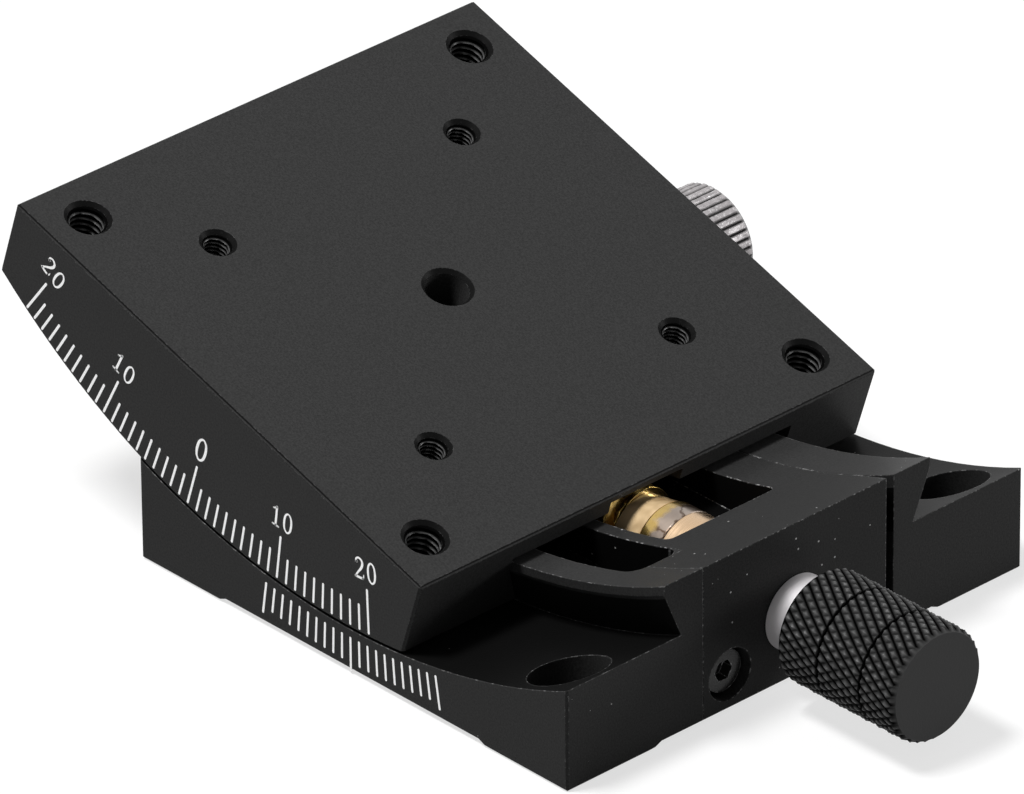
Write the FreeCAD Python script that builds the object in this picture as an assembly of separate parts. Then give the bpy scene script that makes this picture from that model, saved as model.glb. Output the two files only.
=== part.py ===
"""Manual goniometer stage: a tilting table on a curved dovetail, driven by a worm.

Millimetres, +Z up. The origin is the centre of the underside of the base.
+X points towards the drive knob, and -Y is the side with the engraved scale.
The table swings about an axis along Y that lies above its top face.
Pieces of the table are built level, then turned to the tilt in which the stage is shown.
"""
import FreeCAD, Part
import math
import os

Vector = FreeCAD.Vector

# Table and base
stage_size = 60.0          # square table and square base, along X and Y
pivot_height = 80.0        # tilt axis above the underside of the base
table_top_height = 20.0    # table top above the underside of the base, at zero tilt
table_underside = 5.2      # lowest point of the level table above the underside of the base
running_gap = 0.35         # between the arcs of the table and the base
shown_tilt = 18.0          # degrees about +Y, the pose in which the stage is shown
edge_break = 0.25          # small chamfer on outer edges
foot_size = 10.8           # width of each corner foot
full_sweep = 40.0          # degrees each way, past the ends of the base and the table
foot_relief = 0.6          # depth of the relief between the feet
relief_run = 1.4           # length of the sloping side of that relief

# Curved dovetail
ridge_half_width = 17.45
dovetail_height = 5.3      # top of the ridge above the arc of the table's underside
ridge_land = 0.9           # straight land at the ridge's top corners
flank_lean = 25.0          # degrees, undercut of the flanks
slide_gap = 0.1            # running clearance at the flanks
gib_thickness = 1.6        # along Y
gib_end_margin = 2.0       # from the table's ends
gib_screw_radius = 1.5
gib_screw_length = 6.0
gib_screw_x = 16.0
gib_edge_gap = 0.2         # from the gib's edges to the groove's roof land and the table's underside
gib_screw_hex = 1.5        # across the flats, and as deep

# Holes of the table and the base
corner_margin = 5.0        # from the axes of the corner holes to the edges, on the table and the base
corner_hole_radius = 2.0
corner_hole_depth = 8.0
inner_half_pitch = 16.0
inner_hole_radius = 1.5
inner_hole_depth = 6.0
centre_hole_radius = 2.25
centre_hole_depth = 5.0
mouth_chamfer = 0.4
mount_hole_radius = 2.25
mount_bore_radius = 4.0    # counterbore for the head of a mounting screw
mount_floor = 4.6          # thickness left under that head

# Worm and sector
tilt_per_turn = 1.5        # degrees of tilt for one turn of the knob
worm_axis_y = -0.4
worm_axis_z = 7.65
worm_pitch_radius = 3.75
addendum = 0.55
dedendum = 0.7
pressure_angle = 20.0
flank_play = 0.07          # taken off each side of every thread and tooth
thread_embed = 0.1         # how far the thread reaches into the worm's core
thread_rear_x = -8.0
thread_front_x = 8.8
thread_steps = 16          # flat facets of the thread in one turn
sector_reach = 12.4        # half the length over which the sector dips towards the worm's axis
worm_rear_hub = 3.0        # plain length behind that reach
worm_rear_hub_radius = 3.4
worm_front_hub_end = 15.2
sector_half_width = 6.5
sector_thickness = 1.6     # strip under the roots of the teeth
tooth_half_width = 3.2
sector_end_margin = 3.6    # from the table's ends, so that the table keeps a wall over the strip
sector_screw_offset = 4.8
sector_screw_angle = 12.0
sector_screw_radius = 1.0
sector_screw_length = 3.4
screw_play = 0.02          # radial, round the sector's screws
tooth_embed = 0.2          # how far a tooth reaches into the strip

# Worm carrier and its pocket
carrier_low_y = -12.4
carrier_high_y = 12.6
flange_thickness = 7.5
carrier_rear_x = -20.8
carrier_top_drop = 0.02    # its top lies a little below the ridge's
seat_height = 7.5          # shoulder on which the carrier sits
keel_half_width = 6.0      # lower part of the carrier, about the worm axis
keel_bottom = 2.0
keel_gap = 0.2             # under the keel
wall_low_y = -7.9          # outside of the thin wall beside the worm
window_low_y = -6.3
window_high_y = 7.8
window_front_wall = 11.1   # from the carrier's front face to the window
window_rear_x = -15.8
window_floor = 8.0
window_corner = 0.8
worm_clearance = 0.4       # radial, round the worm
pocket_low_y = -14.2
pocket_rear_room = 3.2
pocket_corner = 1.75
fit_gap = 0.05             # between fixed pieces that slide together
side_relief = 0.95         # the carrier's far corner is cut back by this much
side_relief_middle = 0.33  # and its flank by this much halfway
side_relief_length = 4.6   # from the front face
carrier_screw_offset = 8.5
carrier_screw_z = 4.2
carrier_screw_radius = 1.25
carrier_head_radius = 2.25
carrier_head_height = 2.5
carrier_head_depth = 0.9   # head below the face
carrier_screw_length = 12.0
carrier_hex = 2.0          # across the flats
carrier_bore_room = 0.5    # radial, round the screw's head
carrier_hole_room = 1.0    # beyond the screw's tip

# Shaft, bushes and knob
shaft_radius = 2.5
shaft_play = 0.03
bush_wall = 1.2
front_bush_radius = 4.5
front_bush_length = 7.4
front_bush_depth = 0.6     # from the carrier's front face, which hides the bush
sleeve_gap = 0.1
face_gap = 0.1             # carrier to collar, and collar to knob
press_gap = 0.01           # radial, in bores that grip the shaft
ring_thickness = 0.6
ring_radius = 4.2
ring_seat = 0.4            # depth of the ring's groove in the shaft
ring_mouth = 2.8           # opening of the ring
end_play = 0.05
shaft_tail = 1.6           # shaft behind the retaining ring's front face
cross_pin_radius = 0.75
pin_sink = 0.1             # pin ends below the hub's surface
collar_radius = 3.95
collar_length = 3.4
knob_radius = 6.0
knob_length = 15.6
knob_chamfer = 0.4
knob_floor = 3.0           # knob material beyond the end of the shaft
knob_grooves = (5.3, 11.0) # places of the turned grooves, from the knob's inner end
groove_width = 0.35
groove_depth = 0.3
knob_screw_radius = 1.25
knob_screw_place = 2.6     # from the knob's inner end
knob_screw_angle = 135.0   # degrees from straight up, towards the far side
knob_screw_sink = 0.5      # below the knob's surface

# Lock
lock_z = 8.4               # lock axis above the underside of the base, on the level table
lock_thread_radius = 2.0
lock_thread_play = 0.05
lock_nose_radius = 1.4
lock_nose_length = 1.5
lock_travel = 0.2          # how far the nose moves to press the gib
lock_nose_play = 0.03
lock_stem_radius = 0.85    # of the nose's stem in the screw
lock_touch_gap = 0.02      # left between the nose and the gib when locked
lock_head_radius = 5.9
lock_head_length = 8.0
lock_hub_radius = 4.2
lock_hub_length = 0.8
lock_head_gap = 0.4        # hub to table when the lock is open
lock_chamfer = 0.5

# Sizes that follow from those above
pivot = Vector(0, 0, pivot_height)
x_axis = Vector(1, 0, 0)
y_axis = Vector(0, 1, 0)
half_stage = stage_size / 2
corner_half_pitch = half_stage - corner_margin
foot_inner = half_stage - foot_size
flange_rear_x = half_stage - flange_thickness
window_front_x = half_stage - window_front_wall
table_arc_radius = pivot_height - table_underside
ridge_top_radius = table_arc_radius - dovetail_height
ledge_radius = table_arc_radius + running_gap
roof_radius = ridge_top_radius - running_gap
lean = math.tan(math.radians(flank_lean))
flank_top_radius = ridge_top_radius + ridge_land
carrier_top_radius = ridge_top_radius + carrier_top_drop
pitch_radius = pivot_height - worm_axis_z - worm_pitch_radius
worm_pitch = 2 * math.pi * pitch_radius * tilt_per_turn / 360
worm_radius = worm_pitch_radius + addendum
worm_root_radius = worm_pitch_radius - dedendum
tooth_tip_radius = pitch_radius + addendum
tooth_root_radius = pitch_radius - dedendum
sector_back_radius = tooth_root_radius - sector_thickness
sector_half_angle = math.degrees(math.asin((half_stage - sector_end_margin) / tooth_root_radius))
tooth_count = 2 * math.floor(sector_half_angle / tilt_per_turn)
carrier_screw_ys = (worm_axis_y - carrier_screw_offset, worm_axis_y + carrier_screw_offset)
carrier_head_top = half_stage - carrier_head_depth
carrier_head_seat = carrier_head_top - carrier_head_height
carrier_screw_tip = carrier_head_seat - carrier_screw_length
worm_rear_x = -sector_reach - worm_rear_hub
collar_inner_x = half_stage + face_gap
bush_front_x = half_stage - front_bush_depth
bush_seat_x = bush_front_x - front_bush_length
knob_inner_x = collar_inner_x + collar_length + face_gap
shaft_front_x = knob_inner_x + knob_length - knob_floor
shaft_rear_x = carrier_rear_x - shaft_tail
gib_inner_radius = flank_top_radius + gib_edge_gap
gib_outer_radius = table_arc_radius - gib_edge_gap
gib_half_angle = math.degrees(math.asin((half_stage - gib_end_margin) / gib_outer_radius))
ring_front_x = carrier_rear_x - end_play
pin_x = worm_rear_x + worm_rear_hub / 2
lock_radius = pivot_height - lock_z


def box(x0, x1, y0, y1, z0, z1):
    """Block between two opposite corners."""
    return Part.makeBox(x1 - x0, y1 - y0, z1 - z0, Vector(x0, y0, z0))


def rod_x(radius, x0, x1, y=worm_axis_y, z=worm_axis_z):
    """Round bar along X, on the worm axis unless another place is given."""
    return Part.makeCylinder(radius, x1 - x0, Vector(x0, y, z), x_axis)


def rod_y(radius, y0, y1, x, z):
    """Round bar along Y."""
    return Part.makeCylinder(radius, y1 - y0, Vector(x, y0, z), y_axis)


def tube_x(outer, inner, x0, x1):
    """Round tube along the worm axis."""
    return rod_x(outer, x0, x1).cut(rod_x(inner, x0, x1))


def broken_ends(bar, size):
    """Bar with its round edges chamfered."""
    return bar.makeChamfer(size, [e for e in bar.Edges if e.Curve.TypeId == "Part::GeomCircle"])


def swing_cylinder(radius):
    """Cylinder about the tilt axis, wider than the stage."""
    return rod_y(radius, -stage_size, stage_size, 0, pivot_height)


def swept_profile(points, half_angle):
    """Turn a closed (y, radius) outline about the tilt axis, evenly to both sides of straight down."""
    corners = [Vector(0, y, pivot_height - radius) for y, radius in points]
    face = Part.Face(Part.makePolygon(corners + corners[:1]))
    solid = face.revolve(pivot, y_axis, 2 * half_angle)
    return solid.rotate(pivot, y_axis, -half_angle)


def rounded_block(x0, x1, y0, y1, z0, z1, corner):
    """Block with its upright edges rounded, as an end mill leaves them."""
    block = box(x0, x1, y0, y1, z0, z1)
    upright = [e for e in block.Edges if abs(e.tangentAt(e.FirstParameter).z) > 0.9]
    return block.makeFillet(corner, upright)


def chamfered_block(x0, x1, y0, y1, z0, z1):
    """Block with all its outer edges broken."""
    block = box(x0, x1, y0, y1, z0, z1)
    return block.makeChamfer(edge_break, block.Edges)


def four_corners(half_pitch):
    """Places of a square pattern of four."""
    return [(sx * half_pitch, sy * half_pitch) for sx in (-1, 1) for sy in (-1, 1)]


def hex_prism_x(across_flats, x0, x1, y, z):
    """Hexagonal socket along X."""
    reach = across_flats / math.sqrt(3)
    ring = []
    for k in range(7):
        turn = math.radians(60 * k)
        ring.append(Vector(x0, y + reach * math.cos(turn), z + reach * math.sin(turn)))
    return Part.Face(Part.makePolygon(ring)).extrude(Vector(x1 - x0, 0, 0))


def at_shown_tilt(shape):
    """Turn a piece that was built level to the tilt in which the stage is shown."""
    turned = shape.copy()
    turned.rotate(pivot, y_axis, shown_tilt)
    return turned


def flank_y(radius):
    """Half width of the ridge at a distance from the tilt axis."""
    return ridge_half_width - max(radius - flank_top_radius, 0) * lean


def ridge():
    """Raised dovetail that the table rides on, undercut on both sides."""
    bottom = ledge_radius + 1
    half = [(ridge_half_width, ridge_top_radius), (ridge_half_width, flank_top_radius),
            (flank_y(bottom), bottom)]
    outline = half + [(-y, radius) for y, radius in reversed(half)]
    inside = box(-half_stage, half_stage, -half_stage, half_stage, 0, pivot_height)
    return swept_profile(outline, full_sweep).common(inside)


def foot_relief_cut(along_x):
    """Shallow channel with sloping sides across the underside."""
    outer, inner, reach = foot_inner, foot_inner - relief_run, stage_size
    outline = [(-outer, 0), (-inner, foot_relief), (inner, foot_relief), (outer, 0),
               (outer, -1), (-outer, -1)]
    if along_x:
        points = [Vector(-reach, a, b) for a, b in outline]
        run = Vector(2 * reach, 0, 0)
    else:
        points = [Vector(a, -reach, b) for a, b in outline]
        run = Vector(0, 2 * reach, 0)
    return Part.Face(Part.makePolygon(points + points[:1])).extrude(run)


def carrier_pocket():
    """Room in the base for the worm carrier: a slot through the front face, then a stepped pocket."""
    slot = box(flange_rear_x, stage_size, carrier_low_y - fit_gap, carrier_high_y + fit_gap,
               -1, pivot_height)
    rear = carrier_rear_x - pocket_rear_room
    upper = rounded_block(rear, flange_rear_x, pocket_low_y, carrier_high_y + fit_gap,
                          seat_height, pivot_height / 2, pocket_corner)
    shoulder = box(flange_rear_x - pocket_corner, flange_rear_x + 1, carrier_low_y - fit_gap,
                   carrier_high_y + fit_gap, seat_height, pivot_height / 2)
    keel_room = keel_half_width + 2 * fit_gap
    lower = box(rear, flange_rear_x, worm_axis_y - keel_room, worm_axis_y + keel_room,
                keel_bottom - keel_gap, pivot_height / 2)
    return slot.fuse([shoulder, upper, lower])


def base_block():
    """Base with two curved ledges, the dovetail ridge, four feet and counterbored mounting holes."""
    blank = chamfered_block(-half_stage, half_stage, -half_stage, half_stage, 0, half_stage)
    body = blank.cut(swing_cylinder(ledge_radius)).fuse(ridge())
    cuts = [carrier_pocket(), foot_relief_cut(True), foot_relief_cut(False)]
    for x, y in four_corners(corner_half_pitch):
        cuts.append(Part.makeCylinder(mount_hole_radius, stage_size, Vector(x, y, -1)))
        cuts.append(Part.makeCylinder(mount_bore_radius, stage_size, Vector(x, y, mount_floor)))
    for y in carrier_screw_ys:
        end = carrier_screw_tip - carrier_hole_room
        cuts.append(rod_x(carrier_screw_radius + fit_gap, end, flange_rear_x + 1, y, carrier_screw_z))
    return body.cut(cuts).removeSplitter()


def carrier_blank():
    """Outline of the worm carrier: a flange in front, a saddle on the seat and a keel below it."""
    high = 2 * ridge_half_width
    flange = box(flange_rear_x, half_stage, carrier_low_y, carrier_high_y, foot_relief, high)
    saddle = box(carrier_rear_x, flange_rear_x, wall_low_y, carrier_high_y, seat_height, high)
    keel = box(carrier_rear_x, flange_rear_x, worm_axis_y - keel_half_width, worm_axis_y + keel_half_width,
               keel_bottom, seat_height)
    return flange.fuse(saddle).fuse(keel).cut(swing_cylinder(carrier_top_radius))


def side_relief_cut():
    """Curved sliver off the carrier's far side, which leaves a tapering slit beside the ridge."""
    rear_x = half_stage - side_relief_length
    start = Vector(rear_x, carrier_high_y, 0)
    middle = Vector((rear_x + half_stage) / 2, carrier_high_y - side_relief_middle, 0)
    end = Vector(half_stage, carrier_high_y - side_relief, 0)
    out = Vector(half_stage, carrier_high_y + 1, 0)
    back = Vector(rear_x, carrier_high_y + 1, 0)
    edges = [Part.Arc(start, middle, end).toShape(), Part.makeLine(end, out),
             Part.makeLine(out, back), Part.makeLine(back, start)]
    return Part.Face(Part.Wire(edges)).extrude(Vector(0, 0, stage_size))


def drive_block():
    """Worm carrier with an open window over the worm, bores for the bushes and counterbored screw holes."""
    window = rounded_block(window_rear_x, window_front_x, window_low_y, window_high_y,
                           window_floor, stage_size, window_corner)
    cuts = [side_relief_cut(), window,
            rod_x(worm_radius + worm_clearance, window_rear_x, bush_seat_x),
            rod_x(front_bush_radius, bush_seat_x, bush_front_x),
            rod_x(shaft_radius + bush_wall, bush_front_x, half_stage),
            rod_x(shaft_radius + bush_wall, carrier_rear_x - 1, window_rear_x + 1)]
    for y in carrier_screw_ys:
        bore = carrier_head_radius + carrier_bore_room
        hole = carrier_screw_radius + 2 * fit_gap
        cuts.append(rod_x(hole, flange_rear_x - 1, half_stage, y, carrier_screw_z))
        cuts.append(rod_x(bore, carrier_head_seat, half_stage, y, carrier_screw_z))
    return carrier_blank().cut(cuts).removeSplitter()


def carrier_screws():
    """Two socket cap screws through the carrier's flange into the base."""
    screws = []
    for y in carrier_screw_ys:
        head = rod_x(carrier_head_radius, carrier_head_seat, carrier_head_top, y, carrier_screw_z)
        shank = rod_x(carrier_screw_radius, carrier_screw_tip, carrier_head_seat, y, carrier_screw_z)
        socket = hex_prism_x(carrier_hex, carrier_head_top - carrier_head_height / 2, carrier_head_top,
                             y, carrier_screw_z)
        screws.append(head.fuse(shank).cut(socket))
    return Part.makeCompound(screws)


def front_bush():
    """Plain bush in the carrier's front bore."""
    return tube_x(front_bush_radius, shaft_radius + shaft_play, bush_seat_x + sleeve_gap, bush_front_x)


def rear_bush():
    """Plain bush in the carrier's rear wall."""
    return tube_x(shaft_radius + bush_wall, shaft_radius + shaft_play, carrier_rear_x, window_rear_x)


def thread_profile(radius):
    """Half the axial thickness of the worm's thread at a radius."""
    slope = math.tan(math.radians(pressure_angle))
    return worm_pitch / 4 - flank_play - (radius - worm_pitch_radius) * slope


def thread_section(angle):
    """Outline of the thread at an angle round the worm, which lies straight above the axis halfway."""
    outline = []
    for radius, side in ((worm_root_radius - thread_embed, -1), (worm_radius, -1), (worm_radius, 1),
                         (worm_root_radius - thread_embed, 1)):
        x = worm_pitch * angle / (2 * math.pi) + side * thread_profile(radius)
        y = worm_axis_y - radius * math.sin(angle)
        outline.append(Vector(x, y, worm_axis_z + radius * math.cos(angle)))
    return outline


def worm_thread():
    """Single right-hand thread: a trapezoid carried along a helix in short flat steps."""
    step = 2 * math.pi / thread_steps
    first = math.ceil(thread_rear_x / worm_pitch * thread_steps)
    last = math.floor(thread_front_x / worm_pitch * thread_steps)
    sections = [thread_section(step * k) for k in range(first, last + 1)]
    faces = [Part.Face(Part.makePolygon(end + end[:1])) for end in (sections[0], sections[-1])]
    for here, there in zip(sections, sections[1:]):
        for a, b, c, d in zip(here, here[1:] + here[:1], there[1:] + there[:1], there):
            faces.append(Part.Face(Part.makePolygon([a, b, c, a])))
            faces.append(Part.Face(Part.makePolygon([a, c, d, a])))
    return Part.makeSolid(Part.makeShell(faces))


def worm_core():
    """Core under the thread, a prism with a side for each flat facet of one turn."""
    ring = []
    for k in range(thread_steps + 1):
        turn = 2 * math.pi * k / thread_steps
        y = worm_axis_y - worm_root_radius * math.sin(turn)
        ring.append(Vector(worm_rear_x, y, worm_axis_z + worm_root_radius * math.cos(turn)))
    return Part.Face(Part.makePolygon(ring)).extrude(Vector(worm_front_hub_end - worm_rear_x, 0, 0))


def worm():
    """Worm with a plain hub at each end, bored for the shaft and cross drilled for its pin."""
    rear = rod_x(worm_rear_hub_radius, worm_rear_x, -sector_reach)
    front = rod_x(worm_radius, sector_reach, worm_front_hub_end)
    solid = worm_core().fuse([rear, front, worm_thread()])
    bore = rod_x(shaft_radius + press_gap, worm_rear_x, worm_front_hub_end)
    return solid.cut([bore, pin_hole()])


def pin_hole():
    """Hole through the worm's rear hub and the shaft."""
    return rod_y(cross_pin_radius, worm_axis_y - stage_size, worm_axis_y + stage_size, pin_x, worm_axis_z)


def thrust_sleeve():
    """Sleeve between the worm's hub and the front bush."""
    front = bush_seat_x - sleeve_gap
    return tube_x(worm_radius, shaft_radius + press_gap, worm_front_hub_end + sleeve_gap, front)


def worm_shaft():
    """Shaft from the retaining ring to the inside of the knob."""
    bar = rod_x(shaft_radius, shaft_rear_x, shaft_front_x)
    groove_rear = ring_front_x - ring_thickness - end_play
    groove = tube_x(shaft_radius + 1, shaft_radius - ring_seat, groove_rear, ring_front_x)
    return bar.cut([groove, pin_hole()])


def worm_pin():
    """Pin that ties the worm to the shaft."""
    reach = worm_rear_hub_radius - pin_sink
    return rod_y(cross_pin_radius, worm_axis_y - reach, worm_axis_y + reach, pin_x, worm_axis_z)


def retaining_ring():
    """Open spring ring in the shaft's groove."""
    rear = ring_front_x - ring_thickness
    ring = tube_x(ring_radius, shaft_radius - ring_seat, rear, ring_front_x)
    half = ring_mouth / 2
    mouth = box(rear, ring_front_x, worm_axis_y - half, worm_axis_y + half,
                worm_axis_z - 2 * ring_radius, worm_axis_z)
    return ring.cut(mouth)


def shaft_collar():
    """Plain collar between the carrier's face and the knob."""
    return tube_x(collar_radius, shaft_radius + press_gap, collar_inner_x, collar_inner_x + collar_length)


def drive_knob():
    """Round knob with two turned grooves, bored from its inner end."""
    body = broken_ends(rod_x(knob_radius, knob_inner_x, knob_inner_x + knob_length), knob_chamfer)
    cuts = [rod_x(shaft_radius + press_gap, knob_inner_x, shaft_front_x), knob_screw_hole()]
    for place in knob_grooves:
        start = knob_inner_x + place - groove_width / 2
        cuts.append(tube_x(knob_radius + 1, knob_radius - groove_depth, start, start + groove_width))
    return body.cut(cuts)


def radial_rod(radius, inner, outer):
    """Bar square to the worm axis at the knob's set screw, pointing away from the scale side and down."""
    angle = math.radians(knob_screw_angle)
    way = Vector(0, math.sin(angle), math.cos(angle))
    start = Vector(knob_inner_x + knob_screw_place, worm_axis_y, worm_axis_z)
    return Part.makeCylinder(radius, outer - inner, start + way * inner, way)


def knob_screw_hole():
    """Tapped hole for the knob's set screw."""
    return radial_rod(knob_screw_radius, shaft_radius, knob_radius + 1)


def knob_set_screw():
    """Set screw that grips the shaft."""
    return radial_rod(knob_screw_radius - press_gap, shaft_radius, knob_radius - knob_screw_sink)


def groove_outline(extra_low, extra_high):
    """Outline of the ridge widened on its two sides, from the roof to below the table."""
    bottom = table_arc_radius + 1
    low, high = ridge_half_width + extra_low, ridge_half_width + extra_high
    fall = (bottom - flank_top_radius) * lean
    return [(-low, roof_radius), (high, roof_radius), (high, flank_top_radius), (high - fall, bottom),
            (-low + fall, bottom), (-low, flank_top_radius)]


def sector_strip(extra):
    """Band that carries the teeth, or with extra room the channel that holds it."""
    low, high = worm_axis_y - sector_half_width - extra, worm_axis_y + sector_half_width + extra
    inner = sector_back_radius - extra
    outer = tooth_root_radius if extra == 0 else roof_radius + 1
    outline = [(low, inner), (high, inner), (high, outer), (low, outer)]
    return swept_profile(outline, sector_half_angle + extra)


def worm_way():
    """Shallow channel that lets the top of the worm pass out at the table's ends."""
    low, high = worm_axis_y - worm_radius - worm_clearance, worm_axis_y + worm_radius + worm_clearance
    inner, outer = tooth_root_radius - fit_gap, roof_radius + 1
    return swept_profile([(low, inner), (high, inner), (high, outer), (low, outer)], full_sweep)


def level_table():
    """Table at zero tilt: flat top, curved underside and an undercut groove that clasps the ridge."""
    low = table_top_height - 2 * (table_top_height - (pivot_height - table_arc_radius))
    blank = chamfered_block(-half_stage, half_stage, -half_stage, half_stage, low, table_top_height)
    body = blank.common(swing_cylinder(table_arc_radius))
    groove = swept_profile(groove_outline(slide_gap, slide_gap + gib_thickness), full_sweep)
    cuts = [groove, sector_strip(fit_gap), worm_way()]
    for x, y in four_corners(corner_half_pitch):
        cuts += mouthed_hole(corner_hole_radius, x, y, corner_hole_depth)
    for x, y in four_corners(inner_half_pitch):
        cuts += mouthed_hole(inner_hole_radius, x, y, inner_hole_depth)
    cuts += mouthed_hole(centre_hole_radius, 0, 0, centre_hole_depth)
    cuts += [screw.copy() for screw in sector_screw_shanks(screw_play)]
    for x in (-gib_screw_x, gib_screw_x):
        cuts.append(rod_y(gib_screw_radius, ridge_half_width, stage_size, x, gib_screw_z(x)))
    cuts.append(rod_y(lock_thread_radius + lock_thread_play, ridge_half_width, stage_size, 0, lock_z))
    return body.cut(cuts).removeSplitter()


def mouthed_hole(radius, x, y, depth):
    """Round hole from the table's top with a broken mouth."""
    hole = Part.makeCylinder(radius, depth, Vector(x, y, table_top_height - depth))
    mouth = Part.makeCone(radius, radius + mouth_chamfer, mouth_chamfer,
                          Vector(x, y, table_top_height - mouth_chamfer))
    return [hole, mouth]


def gib_screw_z(x):
    """Height of a gib screw on the level table, in the middle of the flank."""
    middle = (flank_top_radius + table_arc_radius) / 2
    return pivot_height - math.sqrt(middle ** 2 - x ** 2)


def tooth(angle):
    """One tooth of the sector, slanted to follow the worm's thread."""
    slope = math.tan(math.radians(pressure_angle))
    slant = worm_pitch / (2 * math.pi * worm_pitch_radius)
    middle = worm_pitch / 4 - flank_play
    foot = tooth_root_radius - tooth_embed
    wires = []
    for offset in (-tooth_half_width, tooth_half_width):
        centre = math.radians(angle) - slant * offset / pitch_radius
        corners = []
        for radius, side in ((foot, -1), (tooth_tip_radius, -1), (tooth_tip_radius, 1), (foot, 1)):
            turn = centre + side * (middle - (radius - pitch_radius) * slope) / radius
            corners.append(Vector(radius * math.sin(turn), worm_axis_y + offset,
                                  pivot_height - radius * math.cos(turn)))
        wires.append(Part.makePolygon(corners + corners[:1]))
    return Part.makeLoft(wires, True, True)


def sector_screw_ways():
    """Start and direction of each sector screw, on the face of the strip beside the teeth."""
    ways = []
    for side in (-1, 1):
        turn = math.radians(side * sector_screw_angle)
        way = Vector(-math.sin(turn), 0, math.cos(turn))
        start = pivot - way * tooth_root_radius + Vector(0, worm_axis_y + side * sector_screw_offset, 0)
        ways.append((start, way))
    return ways


def sector_screw_shanks(extra):
    """Shanks of the sector's screws, or with extra room their holes."""
    return [Part.makeCylinder(sector_screw_radius + extra, sector_screw_length + extra, start, way)
            for start, way in sector_screw_ways()]


def worm_sector():
    """Toothed sector under the table: the part of a large worm wheel that the worm meets."""
    step = tilt_per_turn
    teeth = [tooth((k + 0.5) * step) for k in range(-tooth_count // 2, tooth_count // 2)]
    band = sector_strip(0).fuse(teeth)
    return band.cut(sector_screw_shanks(screw_play))


def sector_screws():
    """Two flush screws that hold the sector in the table."""
    return Part.makeCompound(sector_screw_shanks(0))


def gib_strip():
    """Curved gib between the ridge's far flank and the table's jaw."""
    outline = []
    for side in (slide_gap, slide_gap + gib_thickness - fit_gap / 2):
        reaches = (gib_inner_radius, gib_outer_radius)
        edge = [(flank_y(radius) + side, radius) for radius in reaches]
        outline += edge if not outline else edge[::-1]
    return swept_profile(outline, gib_half_angle)


def jaw_y(radius):
    """Y of the outside of the gib at a distance from the tilt axis."""
    return flank_y(radius) + slide_gap + gib_thickness


def gib_screws():
    """Two set screws in the table's far side that set the gib."""
    screws = []
    for x in (-gib_screw_x, gib_screw_x):
        z = gib_screw_z(x)
        start = jaw_y(math.hypot(x, pivot_height - z) - gib_screw_radius) + fit_gap
        rod = rod_y(gib_screw_radius - press_gap, start, start + gib_screw_length, x, z)
        socket = hex_prism_x(gib_screw_hex, 0, gib_screw_hex, 0, 0)
        socket.rotate(Vector(0, 0, 0), Vector(0, 0, 1), 90)
        socket.translate(Vector(x, start + gib_screw_length - gib_screw_hex, z))
        screws.append(rod.cut(socket))
    return Part.makeCompound(screws)


def lock_nose_y():
    """Y of the lock's nose when the lock is open."""
    return jaw_y(lock_radius - lock_nose_radius) + lock_travel + lock_touch_gap


def lock_nose():
    """Soft nose in the end of the lock screw, which presses the gib and doesn't turn."""
    y0 = lock_nose_y()
    tip = rod_y(lock_nose_radius, y0, y0 + lock_nose_length, 0, lock_z)
    stem = rod_y(lock_stem_radius, y0 + lock_nose_length, y0 + 2 * lock_nose_length, 0, lock_z)
    return tip.fuse(stem)


def lock_screw():
    """Thumb screw of the lock: threaded stem with a hole for the nose, hub and large round head."""
    start = lock_nose_y() + lock_nose_length + lock_nose_play
    hub = half_stage + lock_head_gap
    head = hub + lock_hub_length
    end = head + lock_head_length
    grip = broken_ends(rod_y(lock_head_radius, head, end, 0, lock_z), lock_chamfer)
    stem = rod_y(lock_thread_radius, start, hub, 0, lock_z)
    neck = rod_y(lock_hub_radius, hub, head, 0, lock_z)
    hole_radius = lock_stem_radius + lock_nose_play
    hole = rod_y(hole_radius, start - 1, lock_nose_y() + 2 * lock_nose_length + lock_nose_play, 0, lock_z)
    return grip.fuse([stem, neck]).cut(hole)


fixed_pieces = {
    "base_block": base_block,
    "drive_block": drive_block,
    "carrier_screws": carrier_screws,
    "front_bush": front_bush,
    "rear_bush": rear_bush,
    "worm": worm,
    "thrust_sleeve": thrust_sleeve,
    "worm_shaft": worm_shaft,
    "worm_pin": worm_pin,
    "retaining_ring": retaining_ring,
    "shaft_collar": shaft_collar,
    "drive_knob": drive_knob,
    "knob_set_screw": knob_set_screw,
}
tilting_pieces = {
    "tilt_table": level_table,
    "worm_sector": worm_sector,
    "sector_screws": sector_screws,
    "gib_strip": gib_strip,
    "gib_screws": gib_screws,
    "lock_nose": lock_nose,
    "lock_screw": lock_screw,
}


def build():
    """Write one STEP file for each piece."""
    os.makedirs("parts", exist_ok=True)
    for name, make in fixed_pieces.items():
        make().exportStep(f"parts/{name}.step")
    for name, make in tilting_pieces.items():
        at_shown_tilt(make()).exportStep(f"parts/{name}.step")


build()
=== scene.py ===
# %% [markdown]
# # A manual tilt stage in Blender
# The object is a small black stage for an optical bench. A square table slides on a curved dovetail, so
# that it swings about a line above its own top. A brass worm under grease drives it and a thumb screw
# locks it. The metal pieces come from the CAD model, already in place and in metres. This file gives them
# their finishes and adds what a plain solid can't show: the engraved scale, the knurls, the threads, the
# grease and the dust.

# %% Load the frame
import bmesh
import bpy
import math
from functools import partialmethod
from mathutils import Matrix, Vector


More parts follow.
